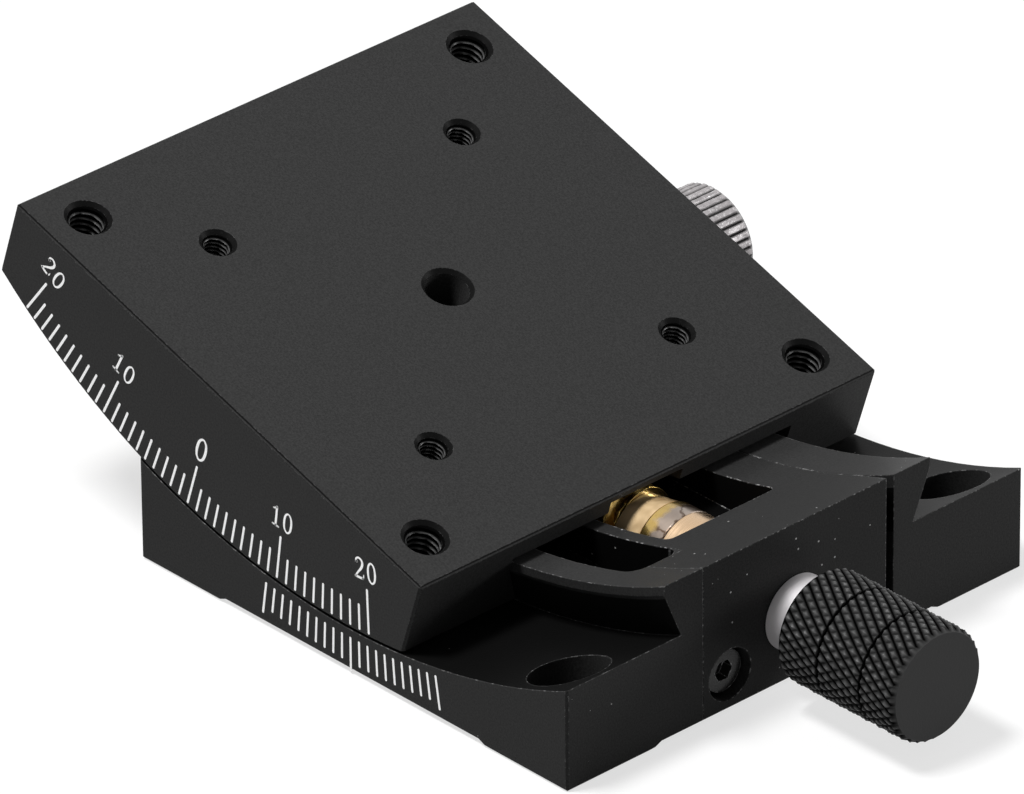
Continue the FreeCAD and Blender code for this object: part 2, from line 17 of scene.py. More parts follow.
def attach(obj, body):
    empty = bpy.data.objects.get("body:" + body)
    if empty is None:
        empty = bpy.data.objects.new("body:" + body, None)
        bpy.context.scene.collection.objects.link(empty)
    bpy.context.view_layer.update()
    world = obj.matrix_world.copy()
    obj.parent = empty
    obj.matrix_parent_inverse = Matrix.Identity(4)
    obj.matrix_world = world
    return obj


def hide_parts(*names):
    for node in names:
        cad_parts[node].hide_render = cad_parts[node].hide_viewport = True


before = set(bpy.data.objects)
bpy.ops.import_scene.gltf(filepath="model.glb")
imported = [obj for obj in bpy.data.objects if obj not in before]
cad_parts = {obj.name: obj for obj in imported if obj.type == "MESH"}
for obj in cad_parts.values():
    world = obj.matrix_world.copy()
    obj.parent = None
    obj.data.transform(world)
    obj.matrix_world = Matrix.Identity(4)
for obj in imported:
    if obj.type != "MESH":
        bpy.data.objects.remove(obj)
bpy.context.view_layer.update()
MM = 0.001

# %% [markdown]
# ## Sizes that the pieces share
# The table turns about a line along Y. In this model it stands turned by 18 degrees, so everything
# engraved on the table or screwed into it is first made as if the table were level, and then turned with
# one matrix. That keeps the numbers simple, the way a machinist reads them from the drawing.

# %% Shared sizes
PIVOT = Vector((0, 0, 80 * MM))
TILT = math.radians(18)
TABLE_TOP = 20 * MM
SCALE_FACE = -30 * MM
WORM_AXIS = Vector((0, -0.4 * MM, 7.65 * MM))
LOCK_AXIS_LEVEL = Vector((0, 0, 8.4 * MM))
HALF_STAGE, RIDGE_TOP_RADIUS, LEDGE_RADIUS = 30 * MM, 69.5 * MM, 75.15 * MM
TILTED = Matrix.Translation(PIVOT) @ Matrix.Rotation(TILT, 4, "Y") @ Matrix.Translation(-PIVOT)
ORIGIN, ALONG_X, ALONG_Y, ALONG_Z = Vector((0, 0, 0)), (1, 0, 0), (0, 1, 0), (0, 0, 1)
print("lock axis when tilted:", [round(v / MM, 2) for v in TILTED @ LOCK_AXIS_LEVEL])

# %% [markdown]
# ## The camera
# The photograph was taken from far away with a long lens, so the edges look nearly parallel. The lens,
# the place and the small roll of this camera were found by fitting the scale lines, the plate corners and
# the holes. Its right, up and back follow from an azimuth and a height above the horizon, and its place
# is given along them in millimetres.

# %% Camera
AZIMUTH, ELEVATION, ROLL = (math.radians(v) for v in (47.2375, 29.8622, -0.5074))
FOCAL_PIXELS, IMAGE_WIDTH, SENSOR_WIDTH = 13101.2, 1024, 36
CAMERA_PLACE = (-6.6446, 15.9382, 1262.5554)


def placed(name, data):
    """New object of the scene that holds the data."""
    made = bpy.data.objects.new(name, data)
    bpy.context.collection.objects.link(made)
    return made


level = Vector((math.cos(AZIMUTH), math.sin(AZIMUTH), 0))
back = Vector((math.sin(AZIMUTH) * math.cos(ELEVATION), -math.cos(AZIMUTH) * math.cos(ELEVATION),
               math.sin(ELEVATION)))
rise = back.cross(level)
right = level * math.cos(ROLL) + rise * math.sin(ROLL)
up = rise * math.cos(ROLL) - level * math.sin(ROLL)
axes = (right, up, back)
camera = placed("camera", bpy.data.cameras.new("camera"))
place = sum((axis * part for axis, part in zip(axes, CAMERA_PLACE)), ORIGIN) * MM
camera.matrix_world = Matrix.Translation(place) @ Matrix(axes).transposed().to_4x4()
camera.data.sensor_width = SENSOR_WIDTH
camera.data.lens = FOCAL_PIXELS / IMAGE_WIDTH * SENSOR_WIDTH
camera.data.clip_start, camera.data.clip_end = 0.1, 10
bpy.context.scene.camera = camera
print("lens:", round(camera.data.lens, 1), "mm")

# %% [markdown]
# ## Building node trees
# Materials and Geometry Nodes are both trees of nodes. Long sums of Math nodes are hard to read, so a
# term stands for the output of a node and knows the signs of arithmetic: a + b adds a Math node. The
# other helpers add a node and fill its inputs with numbers or terms.

# %% Node helpers
class Term:
    """Output of a node. Each sign of arithmetic used on it adds one Math node to its tree."""

    def __init__(self, socket):
        self.socket, self.tree = socket, socket.id_data

    def do(self, operation, *others, clamp=False):
        """Output of one Math node that starts with this term."""
        inputs = dict(enumerate((self, *others)))
        return take(self.tree, "ShaderNodeMath", inputs, operation=operation, use_clamp=clamp)

    def __rsub__(self, number):
        return take(self.tree, "ShaderNodeMath", {0: number, 1: self}, operation="SUBTRACT")

    __add__, __sub__ = partialmethod(do, "ADD"), partialmethod(do, "SUBTRACT")
    __mul__, __truediv__ = partialmethod(do, "MULTIPLY"), partialmethod(do, "DIVIDE")
    __gt__, __lt__ = partialmethod(do, "GREATER_THAN"), partialmethod(do, "LESS_THAN")
    __mod__, __abs__ = partialmethod(do, "FLOORED_MODULO"), partialmethod(do, "ABSOLUTE")


def feed(node, inputs):
    """Fill a node's inputs, by name or number, with values or terms."""
    for key, value in inputs.items():
        if isinstance(value, Term):
            value.tree.links.new(value.socket, node.inputs[key])
        else:
            node.inputs[key].default_value = value


def put(tree, kind, inputs=None, **settings):
    """Add a node to a tree, with settings by name."""
    node = tree.nodes.new(kind)
    for key, value in settings.items():
        setattr(node, key, value)
    feed(node, inputs or {})
    return node


def take(tree, kind, inputs=None, output=0, **settings):
    """Add a node and return one of its outputs."""
    return Term(put(tree, kind, inputs, **settings).outputs[output])


def terms(node):
    """All outputs of a node, by name."""
    return {socket.name: Term(socket) for socket in node.outputs}


print("node helpers ready")

# %% [markdown]
# ## Helpers for places and values
# Most sums below start from a place and end in a range. These helpers take a place apart, measure it
# along a way, spread a value over a range and look up soft noise, so that the trees read like formulas.

# %% Helpers for places and values
def axes_of(spot):
    """X, Y and Z of a place."""
    return terms(put(spot.tree, "ShaderNodeSeparateXYZ", {0: spot})).values()


def dot(vector, way):
    """Part of a vector that lies along a way."""
    return take(vector.tree, "ShaderNodeVectorMath", {0: vector, 1: way}, "Value", operation="DOT_PRODUCT")


def ranged(value, low, high, start=0.0, end=1.0):
    """Value between start and end, spread from low to high."""
    inputs = {"Value": value, "From Min": start, "From Max": end, "To Min": low, "To Max": high}
    return take(value.tree, "ShaderNodeMapRange", inputs)


def noise(spot, scale, detail, output="Fac"):
    """Soft clouds of noise at a place."""
    return take(spot.tree, "ShaderNodeTexNoise", {"Vector": spot, "Scale": scale, "Detail": detail}, output)


print("value helpers ready")

# %% [markdown]
# ## Groups of nodes
# A group is a tree of its own with named inputs and outputs, so that one pattern serves many materials.
# The kind of each input follows from its first value. An input without one is named after its kind, like
# Geometry or Material.

# %% Group helpers
KINDS = {float: "Float", int: "Int", tuple: "Vector"}


def group_tree(name, kind, inputs, outputs):
    """Node group, its inputs as terms and its output node."""
    tree = bpy.data.node_groups.new(name, kind)
    for label, value in inputs.items():
        socket = "NodeSocket" + KINDS.get(type(value), label)
        made = tree.interface.new_socket(label, in_out="INPUT", socket_type=socket)
        if value is not None:
            made.default_value = value
    for label, socket in outputs.items():
        tree.interface.new_socket(label, in_out="OUTPUT", socket_type="NodeSocket" + socket)
    given, out = tree.nodes.new("NodeGroupInput"), tree.nodes.new("NodeGroupOutput")
    print("group:", name)
    return tree, terms(given), out


def object_spot(tree):
    """Object coordinates of the shaded point, in metres."""
    return take(tree, "ShaderNodeTexCoord", output="Object")


def shader_group(name, inputs, **outputs):
    """Group for materials, and the place that it shades."""
    tree, given, out = group_tree(name, "ShaderNodeTree", inputs, outputs)
    return tree, given, out, object_spot(tree)


def use(tree, group, **inputs):
    """Outputs of a group put into a material, by name."""
    inputs = {key.replace("_", " "): value for key, value in inputs.items()}
    return terms(put(tree, "ShaderNodeGroup", inputs, node_tree=group))


print("group helpers ready")

# %% [markdown]
# ## Shader group: grain
# Bead blasted and anodised aluminium has a fine, even grain. A noise of about a tenth of a millimetre
# gives small changes of colour and height. The group reads Object coordinates, which are metres here, so
# one scale fits every piece.

# %% Grain group
def grain_group():
    """Noise at two sizes: a fine one for the grain and a broad one for slow changes."""
    sizes = {"Fine Scale": 5000.0, "Broad Scale": 120.0}
    tree, given, out, spot = shader_group("Grain", sizes, Fine="Float", Broad="Float")
    fine, broad = noise(spot, given["Fine Scale"], 3.0), noise(spot, given["Broad Scale"], 2.0)
    feed(out, {"Fine": fine, "Broad": broad})
    return tree


GRAIN = grain_group()

# %% [markdown]
# ## Shader group: edge lines and wear
# Handling rubs the black off sharp edges first. A Bevel node looks round each corner and returns a
# softened normal. Where that differs from the true normal there is an edge, so their difference makes a
# mask, and noise breaks the mask up. The edge mask also carries a painted line: a painted highlight on
# most pieces and a painted dark line on the table.

# %% Edge group
EDGE_GAIN = 12.0


def edge_group():
    """All edges, the worn bits of them, and a normal that rounds them."""
    sizes = {"Radius": 0.15 * MM, "Breakup": 2500.0}
    tree, given, out, spot = shader_group("Edge Lines and Wear", sizes, Edge="Float", Worn="Float", Normal="Vector")
    soft = take(tree, "ShaderNodeBevel", {"Radius": given["Radius"]}, samples=6)
    same = dot(soft, take(tree, "ShaderNodeNewGeometry", output="True Normal"))
    bent = (1.0 - same).do("MULTIPLY", EDGE_GAIN, clamp=True)
    rubbed = ranged(noise(spot, given["Breakup"], 4.0), 0.0, 1.0, 0.52, 0.66)
    feed(out, {"Edge": bent, "Worn": bent * rubbed, "Normal": soft})
    return tree


EDGE_LINES_AND_WEAR = edge_group()

# %% [markdown]
# ## Shader group: dust
# A few bright specks lie on the black faces, more of them in some places than in others. A Voronoi
# pattern gives cells with one point each. Only where a point is very near does the mask turn on, and a
# slow noise decides how many cells have a speck at all, so the specks come in loose clouds.

# %% Dust group
def dust_group():
    """Mask of small specks that gather in clouds."""
    sizes = {"Scale": 900.0, "Size": 0.09, "Rarity": 0.6}
    tree, given, out, spot = shader_group("Dust", sizes, Mask="Float")
    cells = terms(put(tree, "ShaderNodeTexVoronoi", {"Vector": spot, "Scale": given["Scale"]}))
    pick = take(tree, "ShaderNodeSeparateColor", {"Color": cells["Color"]}, "Red")
    cloud = ranged(noise(spot, 140.0, 1.0), 0.0, 1.0, 0.45, 0.65)
    luck = pick + cloud * (1.0 - given["Rarity"]) - 1.0
    reach = given["Size"] * luck.do("MULTIPLY", 3.0, clamp=True)
    feed(out, {"Mask": cells["Distance"] < reach})
    return tree


DUST = dust_group()

# %% [markdown]
# ## Materials from a few parts
# Every finish here is a Principled BSDF whose colour, roughness and normal come from the groups above.
# These helpers start one, mix two colours by a mask and turn a height into a bumpy normal.

# %% Material helpers
def blank_material(name):
    """Material with its node tree and its Principled BSDF."""
    print("material:", name)
    made = bpy.data.materials.new(name)
    made.use_nodes = True
    return made, made.node_tree, made.node_tree.nodes["Principled BSDF"]


def grey(value):
    """Colour of one even grey, opaque."""
    return (value, value, value, 1.0)


def scaled(colour, factor):
    """Colour made lighter or darker."""
    return (*(min(1.0, v * factor) for v in colour[:3]), 1.0)


def mixed(mask, low, high):
    """Colour that goes from low to high with a mask; 6 and 7 are the node's two colours."""
    return take(mask.tree, "ShaderNodeMix", {"Factor": mask, 6: low, 7: high}, 2, data_type="RGBA")


def bumpy(height, strength, distance, **more):
    """Normal made uneven by a height; more may hold the Normal to start from."""
    inputs = {"Height": height, "Strength": strength, "Distance": distance, **more}
    return take(height.tree, "ShaderNodeBump", inputs)


print("material helpers ready")

# %% [markdown]
# ## Painted shade on the black
# Two kinds of place are painted nearly black, as painted shade and painted dark reflection: the table's
# bevels and hole mouths, which lean towards the dark side of the room, and the ground faces on which the
# table slides, which lie in its shadow. A bevel is found by the lean of its normal, a sliding face by its
# distance from the tilt axis.

# %% Masks of the painted shade
MOUTH_EDGE, BEVEL_DEPTH, LEAN = 1 * MM, 0.12 * MM, (0.5, 0.9)
FLANK_START, LEDGE_EDGE, POCKET_START, SIDE_EDGE = 1.3 * MM, 0.05 * MM, 0.1 * MM, 0.02 * MM
POCKET_END, POCKET_SIDE = 22.3 * MM, 14.3 * MM


def shaded_table_slopes(tree):
    """Mask of the painted shade: the hole mouths and the upper bevels of the table, which lean 45 degrees.
    """
    along = Vector((math.cos(TILT), 0, -math.sin(TILT)))
    upright = Vector((math.sin(TILT), 0, math.cos(TILT)))
    normal = {"Vector": take(tree, "ShaderNodeNewGeometry", output="True Normal")}
    normal = take(tree, "ShaderNodeVectorTransform", normal, vector_type="NORMAL", convert_from="WORLD",
                  convert_to="OBJECT")
    spot = take(tree, "ShaderNodeVectorMath", {0: object_spot(tree), 1: PIVOT}, operation="SUBTRACT")
    rise = dot(normal, upright)
    leaning = (rise > LEAN[0]) * (rise < LEAN[1])
    inner = abs(dot(spot, along)).do("MAXIMUM", abs(dot(spot, ALONG_Y))) < HALF_STAGE - MOUTH_EDGE
    upper = dot(spot, upright) > TABLE_TOP - BEVEL_DEPTH - PIVOT.z
    return leaning * inner.do("MAXIMUM", upper)


def shaded_sliding_faces(tree):
    """Mask of the painted shade on sliding faces: curved ledges, flanks of the ridge and insides of the
    pockets.
    """
    x, y, z = axes_of(object_spot(tree))
    drop = PIVOT.z - z
    swing = (x * x + drop * drop).do("SQRT")
    inside, beside = (abs(v) < HALF_STAGE - SIDE_EDGE for v in (x, y))
    curved = (swing > RIDGE_TOP_RADIUS + FLANK_START) * (swing < LEDGE_RADIUS + LEDGE_EDGE) * beside
    pocket = (swing > RIDGE_TOP_RADIUS + POCKET_START) * (abs(y) < POCKET_SIDE) * (x < POCKET_END)
    return inside * curved.do("MAXIMUM", pocket)


print("masks ready")

# %% [markdown]
# ## Black anodised aluminium
# The table, the base and the worm carrier have the same deep black with a satin grain. The colour is
# nearly even apart from painted light and shade, so the look comes from roughness, the tiny bumps of the
# grain, the painted line on each edge, the painted shade on bevels and sliding faces, and the specks of
# dust.

# %% Black finish
# The second value is how far painted shade darkens the black on bevels and sliding faces.
SPECK, PAINTED_SHADE_FACTOR = grey(0.5), 0.13


def black_finish(name, colour, rough, radius, edge, worn, dust=(0.10, 0.9), shine=0.04, darker=None):
    """Anodised black with grain, painted shade on some faces, a painted line on the edges, worn nicks, and
    dust of a size and rarity.
    """
    made, tree, shader = blank_material(name)
    grain, edges = use(tree, GRAIN), use(tree, EDGE_LINES_AND_WEAR, Radius=radius * MM)
    specks = use(tree, DUST, Size=dust[0], Rarity=dust[1])["Mask"]
    tone = mixed(ranged(grain["Fine"], 0.0, 1.0, 0.35, 0.65), scaled(colour, 0.8), scaled(colour, 1.2))
    # Painted shade: where the mask says, the black is darkened by a fixed factor.
    if darker:
        tone = mixed(darker(tree), tone, scaled(colour, PAINTED_SHADE_FACTOR))
    # The edge mask takes the painted edge line, the worn mask the worn nicks (painted glints on the screws),
    # the specks the dust.
    for mask, colour_there in ((edges["Edge"], edge), (edges["Worn"], worn), (specks, SPECK)):
        tone = mixed(mask, tone, colour_there)
    feed(shader, {"Base Color": tone, "Roughness": ranged(grain["Broad"], rough - 0.05, rough + 0.05),
                  "Normal": bumpy(grain["Fine"], 0.3, 0.04 * MM, Normal=edges["Normal"]),
                  "Specular IOR Level": shine})
    return made


def dress(finish, *nodes):
    """Give carried CAD nodes their finish."""
    for node in nodes:
        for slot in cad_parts[node].material_slots:
            slot.material = finish
    print(finish.name, "on", ", ".join(nodes))


# Edge lines are painted: a dark line on the table, painted highlights along the edges of base and carrier.
TABLE_BLACK = black_finish("table black", grey(0.034), 0.45, 0.08, grey(0.004), grey(0.16),
                           darker=shaded_table_slopes)
BASE_BLACK = black_finish("base black", grey(0.030), 0.4, 0.14, grey(0.06), grey(0.30),
                          dust=(0.085, 0.65), darker=shaded_sliding_faces)
CARRIER_BLACK = black_finish("carrier black", grey(0.025), 0.4, 0.18, grey(0.045), grey(0.5),
                             dust=(0.09, 0.0), darker=shaded_sliding_faces)
# On the screws the edge line and the worn bits are painted glints round the rim and the hex.
SCREW_BLACK = black_finish("screw black", grey(0.014), 0.25, 0.16, grey(0.16), grey(0.9), shine=0.25)
dress(TABLE_BLACK, "tilt_table")
dress(BASE_BLACK, "base_block")
dress(CARRIER_BLACK, "drive_block")
dress(SCREW_BLACK, "carrier_screws", "gib_screws", "sector_screws", "knob_set_screw", "drive_knob")

# %% [markdown]
# ## Turned metals
# Brass, shaft steel and the pale alloy of the collar and the lock are turned on a lathe. A turned face
# has fine rings round its axis, which show as slow changes of roughness. The rings follow the distance
# along the axis, read from Object coordinates, plus a little noise so that they aren't perfectly even. A
# picture of brushed metal would need its own map on every piece, and this needs none.

# %% Turned group and metals
def turned_group():
    """Fine rings along one axis of the piece, chosen by a vector."""
    tree, given, out, spot = shader_group("Turned", {"Axis": ALONG_X, "Rings": 9000.0}, Rings="Float")
    line = take(tree, "ShaderNodeCombineXYZ", {"X": dot(spot, given["Axis"]) * given["Rings"]})
    uneven = {0: line, 1: noise(spot, 900.0, 2.0, "Color")}
    uneven = take(tree, "ShaderNodeVectorMath", uneven, operation="ADD")
    feed(out, {"Rings": noise(uneven, 1.0, 4.0)})
    return tree


TURNED = turned_group()


def turned_metal(name, dark, light, rough, axis=ALONG_X, metallic=1.0):
    """Metal with turned rings and softened edges."""
    made, tree, shader = blank_material(name)
    rings = use(tree, TURNED, Axis=axis)["Rings"]
    edges = use(tree, EDGE_LINES_AND_WEAR, Radius=0.1 * MM)
    feed(shader, {"Base Color": mixed(use(tree, GRAIN)["Broad"], dark, light), "Metallic": metallic,
                  "Roughness": ranged(rings, rough - 0.08, rough + 0.08, 0.3, 0.7),
                  "Normal": bumpy(rings, 0.3, 0.02 * MM, Normal=edges["Normal"])})
    return made


BRASS = turned_metal("brass", (0.55, 0.36, 0.20, 1), (0.80, 0.62, 0.44, 1), 0.25)
MILLED_BRASS = turned_metal("milled brass", (0.50, 0.34, 0.20, 1), (0.66, 0.48, 0.32, 1), 0.5, metallic=0.6)
SHAFT_STEEL = turned_metal("shaft steel", grey(0.42), grey(0.55), 0.3)
COLLAR_GREY = turned_metal("collar grey", (0.72, 0.695, 0.71, 1), (0.82, 0.795, 0.81, 1), 0.55,
                           metallic=0.3)
LOCK_GREY = turned_metal("lock grey", (0.33, 0.315, 0.32, 1), (0.45, 0.425, 0.435, 1), 0.42,
                         axis=ALONG_Y, metallic=0.6)
dress(BRASS, "front_bush", "rear_bush", "worm", "thrust_sleeve", "worm_sector")
dress(MILLED_BRASS, "gib_strip", "lock_nose")
dress(SHAFT_STEEL, "worm_shaft", "worm_pin", "retaining_ring")
dress(COLLAR_GREY, "shaft_collar")
dress(LOCK_GREY, "lock_screw")

# %% [markdown]
# ## Pieces turned on a lathe
# The knob, the lock screw and the worm are round. In Blender such a blank is a closed outline of distance
# and radius points, carried once round the axis. The mesh is welded where the outline meets the axis, so
# the shape is closed.

# %% Lathe helper
WELD = 1e-7


def rows(start, end, step):
    """Evenly spaced places from start to end, in millimetres."""
    count = max(1, round(abs(end - start) / step))
    return [start + (end - start) * k / count for k in range(count + 1)]


def built(name, points, faces, change):
    """Object with a mesh of points and faces that a function changes before it is used."""
    mesh = bpy.data.meshes.new(name)
    mesh.from_pydata(points, [], faces)
    work = bmesh.new()
    work.from_mesh(mesh)
    change(work)
    work.to_mesh(mesh)
    work.free()
    return placed(name, mesh)


def weld(work):
    """Join points in the same place and turn all faces outwards."""
    bmesh.ops.remove_doubles(work, verts=work.verts, dist=WELD)
    bmesh.ops.dissolve_degenerate(work, edges=work.edges, dist=WELD / 10)
    bmesh.ops.recalc_face_normals(work, faces=work.faces)


def lathe(name, outline, axis_point, along, steps):
    """Object from a closed outline of (place, radius) in millimetres about an axis along X, Y or Z."""
    way = Vector(along)
    side = Vector(ALONG_Z if abs(way.z) < 0.5 else ALONG_X)
    other = way.cross(side)
    base = axis_point - way * axis_point.dot(way)
    points, faces, count = [], [], len(outline)
    for k in range(steps):
        turn = 2 * math.pi * k / steps
        ray = side * math.cos(turn) + other * math.sin(turn)
        points += [base + (way * place + ray * radius) * MM for place, radius in outline]
        here, there = k * count, (k + 1) % steps * count
        for i in range(count):
            j = (i + 1) % count
            faces.append((here + i, here + j, there + j, there + i))
    return built(name, points, faces, weld)


print("lathe ready")

# %% [markdown]
# ## Running a Geometry Nodes tree
# A modifier keeps the values of a tree's inputs under the socket's identifier, not under its name, so
# this helper looks the identifier up. The result is turned into a plain mesh and the modifier goes away,
# which keeps the finished piece simple.

# %% Run a tree on a piece
def run_tree(piece, tree, values, material):
    """Set a tree's inputs on a piece and keep the result as its mesh."""
    modifier = piece.modifiers.new("nodes", "NODES")
    modifier.node_group = tree
    sockets = {item.name: item.identifier for item in tree.interface.items_tree if item.in_out == "INPUT"}
    for label, value in {**values, "Material": material}.items():
        modifier[sockets[label]] = value
    bpy.context.view_layer.update()
    result = piece.evaluated_get(bpy.context.evaluated_depsgraph_get())
    mesh = bpy.data.meshes.new_from_object(result)
    piece.modifiers.remove(modifier)
    piece.data = mesh
    print(piece.name, len(mesh.polygons), "faces")


def smooth(piece, angle):
    """Smooth shading that keeps edges sharper than the angle."""
    piece.data.shade_smooth()
    piece.data.set_sharp_from_angle(angle=math.radians(angle))


def piece_tree(name, sizes):
    """Geometry Nodes tree with sizes and a material as inputs."""
    return group_tree(name, "GeometryNodeTree", {**sizes, "Material": None}, {"Geometry": "Geometry"})


def finish_tree(out, geometry, material):
    """End a tree with Realize Instances and Set Material."""
    whole = take(geometry.tree, "GeometryNodeRealizeInstances", {0: geometry})
    feed(out, {0: take(whole.tree, "GeometryNodeSetMaterial", {"Geometry": whole, "Material": material})})


print("runner ready")

# %% [markdown]
# ## Shapes bent by their own coordinates
# The knurls, the threads and the worm all start from a plain round blank. Each point works out its turn
# about the axis, as a share of a full round, and its distance from it, and from these how far it moves in
# or out.

# %% Bending helpers
TINY = 1e-6


def axis_angle(across, up):
    """Turn about an axis as a share of a full round, and the distance from it."""
    return across.do("ARCTAN2", up) / (2 * math.pi), (across * across + up * up).do("SQRT")


def triangle(phase):
    """Wave that falls from 1 to 0 and rises to 1 again in each whole step of the phase."""
    return abs(phase % 1.0 * 2.0 - 1.0)


def moved(geometry, **parts):
    """Geometry whose points are moved by parts along X, Y or Z."""
    offset = take(geometry.tree, "ShaderNodeCombineXYZ", parts)
    return take(geometry.tree, "GeometryNodeSetPosition", {"Geometry": geometry, "Offset": offset})


def marked(geometry, ridge):
    """Geometry that remembers how high each point lies, for its material."""
    inputs = {"Geometry": geometry, "Name": "ridge", "Value": ridge}
    return take(geometry.tree, "GeometryNodeStoreNamedAttribute", inputs, data_type="FLOAT", domain="POINT")


print("bending helpers ready")

# %% [markdown]
# ## The knurled knob
# A knurling tool presses two sets of slanting grooves into the turned blank. Where they cross they leave
# rows of small pyramids with slightly flat tops. Each set is a triangle wave of angle plus or minus place
# along the axis, and the lower of the two waves is the surface. The same tree without the slant makes the
# straight knurl of the lock.

# %% Knurl tree
KNURL_FADE, KNURL_SKIN, END_FACE = 0.1 * MM, 0.05 * MM, 0.57


def knurl_tree():
    """Press two sets of grooves into a round blank about an axis along X."""
    sizes = ("Axis Y", "Axis Z", "Radius", "Grooves", "Pitch", "Slant", "Depth", "Flat", "Start", "End")
    tree, given, out = piece_tree("Knurl", {"Geometry": None, **dict.fromkeys(sizes, 0.0)})
    place = take(tree, "GeometryNodeInputPosition")
    x, y, z = axes_of(place)
    y, z = y - given["Axis Y"], z - given["Axis Z"]
    share, distance = axis_angle(y, z)
    turn, run = share * given["Grooves"], x / given["Pitch"] * given["Slant"]
    waves = [ranged(triangle(phase).do("MULTIPLY", given["Flat"], clamp=True), 1.0 - weight, 1.0)
             for phase, weight in ((turn + run, 1.0), (turn - run, 0.7))]
    ridge = waves[0].do("MINIMUM", waves[1]) * ranged(noise(place, 1300.0, 2.0), 0.8, 1.0, 0.35, 0.55)
    fade_in = ranged(x, 0.0, 1.0, given["Start"], given["Start"] + KNURL_FADE)
    fade_out = ranged(x, 0.0, 1.0, given["End"], given["End"] - KNURL_FADE)
    here = (distance > given["Radius"] - KNURL_SKIN) * fade_in * fade_out
    drop = (1.0 - ridge) * given["Depth"] * here
    scale = drop / distance.do("MAXIMUM", TINY) * -1.0
    shown = (ridge * here).do("MAXIMUM", (x > given["End"] + KNURL_FADE) * END_FACE)
    finish_tree(out, moved(marked(given["Geometry"], shown), Y=y * scale, Z=z * scale), given["Material"])
    return tree


KNURL = knurl_tree()

# %% [markdown]
# ## Black knurled finish
# Fingers polish the tops of the knurl and leave the bottoms dark. The tree stored how high each point
# The knurl is painted dark in its grooves, as painted shade, and lighter on its tops. The tree stored how
# high each point lies in an attribute, and the material reads it: dark below, lighter and smoother on top,
# with a painted glint here and there. The grooves reflect less, too, which stands in for their shade.

# %% Knurl material
def knurl_finish(name, low, high, rough, metallic=0.0, start=0.2, full=1.0):
    """Finish with painted shade at the bottom of the knurl, painted glints on its tops, and a range of
    roughness.
    """
    made, tree, shader = blank_material(name)
    ridge = take(tree, "ShaderNodeAttribute", output="Fac", attribute_name="ridge")
    fine = use(tree, GRAIN, Fine_Scale=4000.0)["Fine"]
    # Painted glints: bright specks on the high parts of the knurl.
    painted_glints = ranged(fine, 0.0, 0.6, 0.58, 0.7) * ranged(ridge, 0.0, 1.0, 0.6, 0.9)
    # Dark in the grooves as painted shade, lighter on the tops, with the painted glints over it.
    tone = mixed(painted_glints, mixed(ranged(ridge, 0.0, 1.0, start, full), low, high), scaled(high, 3))
    # The grooves also reflect less, which stands in for their shade.
    feed(shader, {"Base Color": tone, "Roughness": ranged(fine, *rough), "Metallic": metallic,
                  "Normal": bumpy(fine, 0.4, 0.04 * MM),
                  "Specular IOR Level": ranged(ridge, 0.0, 0.3, 0.5, 1.0)})
    return made


# Each of these finishes paints shade in the hollows and glints on the high points.
KNOB_BLACK = knurl_finish("knurled black", grey(0.002), grey(0.085), (0.3, 0.5), start=0.15, full=0.8)
LOCK_KNURL = knurl_finish("knurled grey", grey(0.05), (0.40, 0.38, 0.385, 1), (0.35, 0.5), 0.5)
THREAD_BLACK = knurl_finish("thread black", grey(0.003), grey(0.13), (0.25, 0.45), start=0.5)

# %% [markdown]
# ## The blank of the knob
# The knob is one turned piece with two narrow grooves and a bore for the shaft. The knurl needs many
# points, so the blank has close rows along its skin and many steps round the axis.

# %% Knob
KNOB_START, KNOB_END, KNOB_RADIUS, KNOB_BORE, BORE_END = 33.6, 49.2, 6.0, 2.53, 46.2
KNOB_GROOVES, KNOB_ROW, KNOB_STEPS = (38.9, 44.6), 0.095, 510
skin = [(x, KNOB_RADIUS) for x in rows(KNOB_END - 0.45, KNOB_START + 0.35, KNOB_ROW)]
for place in KNOB_GROOVES:
    skin = [(x, KNOB_RADIUS - 0.5 if abs(x - place) < 0.15 else r) for x, r in skin]
end_face = [(KNOB_END, r) for r in (0.0, 2.0, 4.0, 5.3, 5.5)]
bore = [(KNOB_START, 5.6), (KNOB_START, KNOB_BORE), (BORE_END, KNOB_BORE), (BORE_END, 0.0)]
knob = lathe("knurled_knob", end_face + skin + bore, WORM_AXIS, ALONG_X, KNOB_STEPS)
run_tree(knob, KNURL, {"Axis Y": WORM_AXIS.y, "Axis Z": WORM_AXIS.z, "Radius": KNOB_RADIUS * MM,
                       "Grooves": 34.0, "Pitch": 1.75 * MM, "Slant": 1.0, "Depth": 0.32 * MM, "Flat": 1.05,
                       "Start": (KNOB_START + 0.2) * MM, "End": (KNOB_END - 0.35) * MM}, KNOB_BLACK)
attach(knob, "drive")
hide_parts("drive_knob")
print("knob box:", [round(v / MM, 2) for v in knob.dimensions])

# %% [markdown]
# ## The lock screw
# The thumb screw on the far side is a pale metal screw with a straight knurl: wide ridges with narrow
# grooves. It is made lying along X at the origin, with the same tree and no slant, and then its mesh is
# turned to lie along Y and set on the lock's axis in the tilted table.

